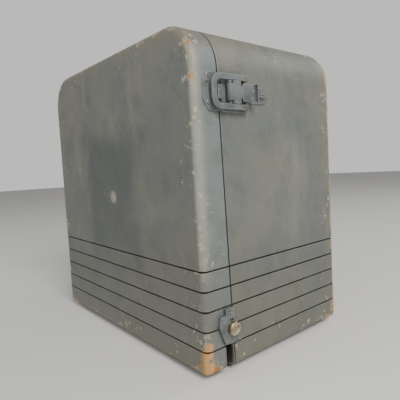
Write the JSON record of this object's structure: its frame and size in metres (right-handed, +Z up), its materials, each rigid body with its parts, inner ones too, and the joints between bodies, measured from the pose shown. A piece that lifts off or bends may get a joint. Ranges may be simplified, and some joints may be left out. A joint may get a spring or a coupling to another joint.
{
  "type": "portable ham radio transmitter",
  "caption": "Upright portable radio transmitter in a painted wooden case with a lift-off grooved front cover, side draw latches, tilt hinges, and a panel and chassis inside.",
  "frame": {"origin": "centre of the footprint, on the surface that the rubber feet stand on", "axes": "+Z up; -Y out of the front cover; +X to the right as seen from the front"},
  "size_m": [0.4454, 0.246, 0.424],
  "materials": {
    "case_paint": "satin grey-blue paint over wood, chipped and rubbed through at the edges",
    "bare_wood": "bare planed softwood",
    "fitting_paint": "pressed steel painted with the case",
    "bare_steel": "plated steel, dulled",
    "rubber": "black rubber",
    "handle_leather": "dark brown stitched leather",
    "panel_enamel": "black wrinkle enamel",
    "back_enamel": "grey enamelled sheet",
    "chassis_plate": "zinc-plated sheet steel",
    "moulding": "black moulded phenolic",
    "dial_metal": "etched dial plate, dark with light marks",
    "scale_card": "cream printed card",
    "clear_glass": "clear glass",
    "jewel_glass": "red faceted glass",
    "needle_enamel": "black enamel",
    "brass": "turned brass, nickel worn off",
    "capacitor_aluminium": "satin sheet aluminium",
    "ceramic": "unglazed white ceramic",
    "transformer_enamel": "black crackle enamel",
    "laminations": "varnished iron laminations",
    "copper_wire": "enamelled copper wire",
    "anode_metal": "carbonised nickel"
  },
  "bodies": {
    "case": {"case_shell": "case_paint", "seam_tongue": "bare_wood", "wood_cleats": "bare_wood", "back_panel": "back_enamel", "wood_screws": "bare_steel", "rubber_feet": "rubber", "handle_brackets": "fitting_paint", "latch_bases": "fitting_paint", "latch_pivot_pins": "fitting_paint", "fitting_screws": "fitting_paint", "hinge_bearings": "fitting_paint", "front_panel": "panel_enamel", "panel_screws": "bare_steel", "chassis": "chassis_plate", "chassis_brackets": "chassis_plate", "meter_case": "moulding", "meter_scale": "scale_card", "meter_glass": "clear_glass", "dial_plates": "dial_metal", "capacitor_frames": "capacitor_aluminium", "capacitor_stators": "capacitor_aluminium", "band_switch": "ceramic", "switch_bodies": "bare_steel", "pilot_bezel": "brass", "pilot_jewel": "jewel_glass", "key_jack": "brass", "antenna_posts": "brass", "crystal_socket": "moulding", "transformer_core": "laminations", "transformer_bells": "transformer_enamel", "filter_choke": "transformer_enamel", "filter_cans": "capacitor_aluminium", "tube_sockets": "ceramic", "tube_bases": "moulding", "tube_bulbs": "clear_glass", "tube_plates": "anode_metal", "coil_form": "ceramic", "coil_winding": "copper_wire", "mains_inlet": "moulding"},
    "cradle": {"hinge_pins": "brass"},
    "cover": {"cover_shell": "case_paint", "centre_bolt": "bare_steel", "latch_keepers": "fitting_paint", "hinge_hooks": "fitting_paint", "cover_fitting_screws": "fitting_paint"},
    "handle": {"handle_bail": "bare_steel", "handle_grip": "handle_leather"},
    "lever_right": {"latch_lever_right": "fitting_paint"},
    "lever_left": {"latch_lever_left": "fitting_paint"},
    "bail_right": {"latch_bail_right": "fitting_paint"},
    "bail_left": {"latch_bail_left": "fitting_paint"},
    "tuning": {"tuning_knob": "moulding", "tuning_rotor": "capacitor_aluminium"},
    "loading": {"loading_knob": "moulding", "loading_rotor": "capacitor_aluminium"},
    "band": {"band_knob": "moulding"},
    "send_switch": {"send_toggle": "bare_steel"},
    "power_switch": {"power_toggle": "bare_steel"},
    "needle": {"meter_needle": "needle_enamel"},
    "crystal": {"crystal_holder": "moulding"}
  },
  "joints": [
    {"name": "cover_tilt", "type": "hinge", "parent": "case", "child": "cradle", "pos_m": [0, -0.088, 0.0575], "axis": [1, 0, 0], "range_deg": [0, 11]},
    {"name": "cover_lift_off", "type": "slide", "parent": "cradle", "child": "cover", "axis": [0, -0.2588, 0.9659], "range_m": [0, 0.45]},
    {"name": "handle_fold", "type": "hinge", "parent": "case", "child": "handle", "pos_m": [0, 0, 0.4155], "axis": [1, 0, 0], "range_deg": [0, 180]},
    {"name": "latch_open_right", "type": "hinge", "parent": "case", "child": "lever_right", "pos_m": [0.211, -0.075, 0.327], "axis": [0, 0, -1], "range_deg": [0, 135]},
    {"name": "bail_swing_right", "type": "hinge", "parent": "lever_right", "child": "bail_right", "pos_m": [0.211, -0.051, 0.327], "axis": [0, 0, -1], "range_deg": [-135, 0]},
    {"name": "latch_open_left", "type": "hinge", "parent": "case", "child": "lever_left", "pos_m": [-0.211, -0.075, 0.327], "axis": [0, 0, 1], "range_deg": [0, 135]},
    {"name": "bail_swing_left", "type": "hinge", "parent": "lever_left", "child": "bail_left", "pos_m": [-0.211, -0.051, 0.327], "axis": [0, 0, 1], "range_deg": [-135, 0]},
    {"name": "tuning_turn", "type": "hinge", "parent": "case", "child": "tuning", "pos_m": [-0.108, -0.069, 0.218], "axis": [0, 1, 0], "range_deg": [0, 180]},
    {"name": "loading_turn", "type": "hinge", "parent": "case", "child": "loading", "pos_m": [0.108, -0.069, 0.218], "axis": [0, 1, 0], "range_deg": [0, 180]},
    {"name": "band_turn", "type": "hinge", "parent": "case", "child": "band", "pos_m": [0, -0.069, 0.196], "axis": [0, 1, 0], "range_deg": [-60, 60]},
    {"name": "send_flip", "type": "hinge", "parent": "case", "child": "send_switch", "pos_m": [-0.066, -0.072, 0.112], "axis": [-1, 0, 0], "range_deg": [0, 26]},
    {"name": "power_flip", "type": "hinge", "parent": "case", "child": "power_switch", "pos_m": [0.066, -0.072, 0.112], "axis": [-1, 0, 0], "range_deg": [0, 26]},
    {"name": "needle_swing", "type": "hinge", "parent": "case", "child": "needle", "pos_m": [0, -0.068, 0.292], "axis": [0, 1, 0], "range_deg": [0, 90], "stiffness_Nm_per_rad": 0.00005},
    {"name": "crystal_pull", "type": "slide", "parent": "case", "child": "crystal", "axis": [0, -1, 0], "range_m": [0, 0.014]}
  ],
  "couplings": [
    {"joint": "bail_swing_right", "follows": "latch_open_right", "ratio": -1},
    {"joint": "bail_swing_left", "follows": "latch_open_left", "ratio": -1}
  ]
}
